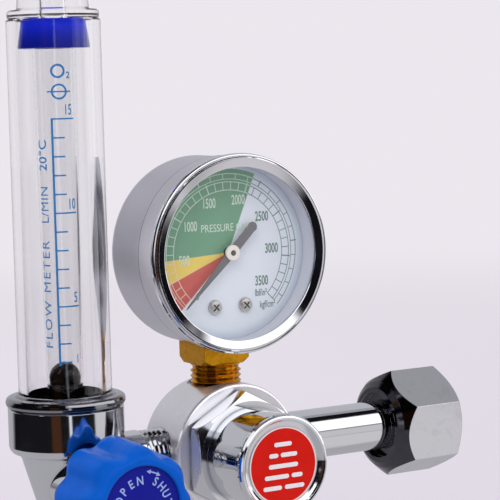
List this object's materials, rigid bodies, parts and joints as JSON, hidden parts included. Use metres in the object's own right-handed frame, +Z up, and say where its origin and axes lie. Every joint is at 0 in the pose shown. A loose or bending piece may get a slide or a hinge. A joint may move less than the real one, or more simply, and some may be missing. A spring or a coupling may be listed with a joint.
{
  "type": "oxygen regulator with flowmeter",
  "caption": "Chrome gas regulator: cylinder nut and stem, pressure gauge, capped spring bonnet, and a clear float flowmeter with a blue needle valve knob and hose nipple.",
  "frame": {"origin": "middle of the cylinder nut thread on the inlet axis, 68.45 mm from the valve body's centre, where the inlet, bonnet and gauge stem axes cross", "axes": "+X along the inlet stem towards the cylinder nut, -Y towards the dial face, the bonnet cap and the flow knob, +Z up along the gauge stem and the flow tube"},
  "size_m": [0.1354, 0.0588, 0.1807],
  "materials": {
    "chrome": "bright plated",
    "gauge_chrome": "bright plated steel",
    "brass": "machined",
    "movement_brass": "stamped",
    "copper_washer": "soft annealed",
    "spring_steel": "drawn wire",
    "steel": "turned",
    "stainless": "ground",
    "cap_label": "printed sticker",
    "diaphragm": "moulded sheet",
    "seal_black": "moulded",
    "seal_white": "machined fluoropolymer",
    "filter": "sintered bronze",
    "dial": "printed white sheet",
    "pointer": "satin grey",
    "hub": "moulded",
    "window": "clear polycarbonate",
    "cover_tube": "clear polycarbonate",
    "metering_tube": "clear acrylic",
    "float": "polished ball",
    "float_stop": "moulded natural nylon",
    "tube_seal": "moulded",
    "knob": "moulded",
    "knob_disc": "moulded"
  },
  "bodies": {
    "regulator": {"valve_body": "chrome", "bonnet": "chrome", "bonnet_cap": "chrome", "cap_label": "cap_label", "diaphragm": "diaphragm", "main_spring": "spring_steel", "spring_button": "brass", "adjusting_screw": "steel", "seat_nozzle": "brass", "poppet_spring": "spring_steel", "inlet_stem": "chrome", "inlet_gasket": "seal_white", "inlet_filter": "filter", "gauge_case": "gauge_chrome", "gauge_bezel": "gauge_chrome", "gauge_window": "window", "window_gasket": "seal_white", "gauge_dial": "dial", "dial_screws": "steel", "dial_posts": "movement_brass", "gauge_socket": "brass", "gauge_washer": "copper_washer", "bourdon_tube": "movement_brass", "tube_tip_lug": "movement_brass", "movement_plates": "movement_brass", "movement_pillars": "movement_brass", "movement_screws": "steel", "hairspring": "spring_steel", "flow_body": "chrome", "tube_collar": "chrome", "cover_tube": "cover_tube", "metering_tube": "metering_tube", "float_stop": "float_stop", "tube_seal": "tube_seal", "tube_cap": "cover_tube", "cover_oring": "seal_black", "metering_oring": "seal_black", "gland_nut": "chrome", "gland_packing": "seal_white", "hose_nipple": "chrome", "outlet_washer": "seal_black"},
    "inlet_nut": {"inlet_nut": "chrome"},
    "diaphragm_plate": {"diaphragm_plate": "brass"},
    "poppet": {"valve_poppet": "brass", "poppet_seat": "seal_white"},
    "pointer": {"gauge_pointer": "pointer", "pointer_hub": "hub", "pointer_arbor": "steel"},
    "sector": {"sector_gear": "movement_brass"},
    "link": {"movement_link": "steel"},
    "float": {"float_ball": "float"},
    "spindle": {"flow_spindle": "stainless"},
    "knob": {"flow_knob": "knob", "knob_disc": "knob_disc", "knob_screw": "steel"},
    "outlet_nut": {"outlet_nut": "chrome"}
  },
  "joints": [
    {"name": "inlet_nut_spin", "type": "hinge", "parent": "regulator", "child": "inlet_nut", "pos_m": [-0.00495, 0, 0], "axis": [1, 0, 0], "continuous": true},
    {"name": "diaphragm_lift", "type": "slide", "parent": "regulator", "child": "diaphragm_plate", "axis": [0, -1, 0], "range_m": [0, 0.0005], "deforming": ["main_spring", "diaphragm"]},
    {"name": "poppet_lift", "type": "slide", "parent": "regulator", "child": "poppet", "axis": [0, -1, 0], "range_m": [0, 0.0005], "deforming": ["poppet_spring"]},
    {"name": "pointer_turn", "type": "hinge", "parent": "regulator", "child": "pointer", "pos_m": [-0.06845, 0, 0.0544], "axis": [0, 1, 0], "range_deg": [0, 270]},
    {"name": "sector_turn", "type": "hinge", "parent": "regulator", "child": "sector", "pos_m": [-0.06845, 0, 0.04188], "axis": [0, 1, 0], "range_deg": [-30.5, 0.5]},
    {"name": "link_swing", "type": "hinge", "parent": "sector", "child": "link", "pos_m": [-0.06156, 0, 0.04066], "axis": [0, 1, 0], "range_deg": [-0.5, 33]},
    {"name": "float_rise", "type": "slide", "parent": "regulator", "child": "float", "axis": [0, 0, 1], "range_m": [0, 0.082]},
    {"name": "spindle_feed", "type": "slide", "parent": "regulator", "child": "spindle", "axis": [0, -1, 0], "range_m": [0, 0.0015]},
    {"name": "knob_turn", "type": "hinge", "parent": "spindle", "child": "knob", "pos_m": [-0.11415, -0.03, -0.0037], "axis": [0, -1, 0], "range_deg": [0, 540.5]},
    {"name": "outlet_nut_spin", "type": "hinge", "parent": "regulator", "child": "outlet_nut", "pos_m": [-0.11415, 0, -0.024], "axis": [0, 0, 1], "continuous": true}
  ],
  "couplings": [
    {"joint": "poppet_lift", "follows": "diaphragm_lift", "ratio": 1},
    {"joint": "sector_turn", "follows": "pointer_turn", "ratio": -0.11111},
    {"joint": "link_swing", "follows": "pointer_turn", "ratio": 0.118},
    {"joint": "knob_turn", "follows": "spindle_feed", "rad_per_m": 6283.2}
  ]
}
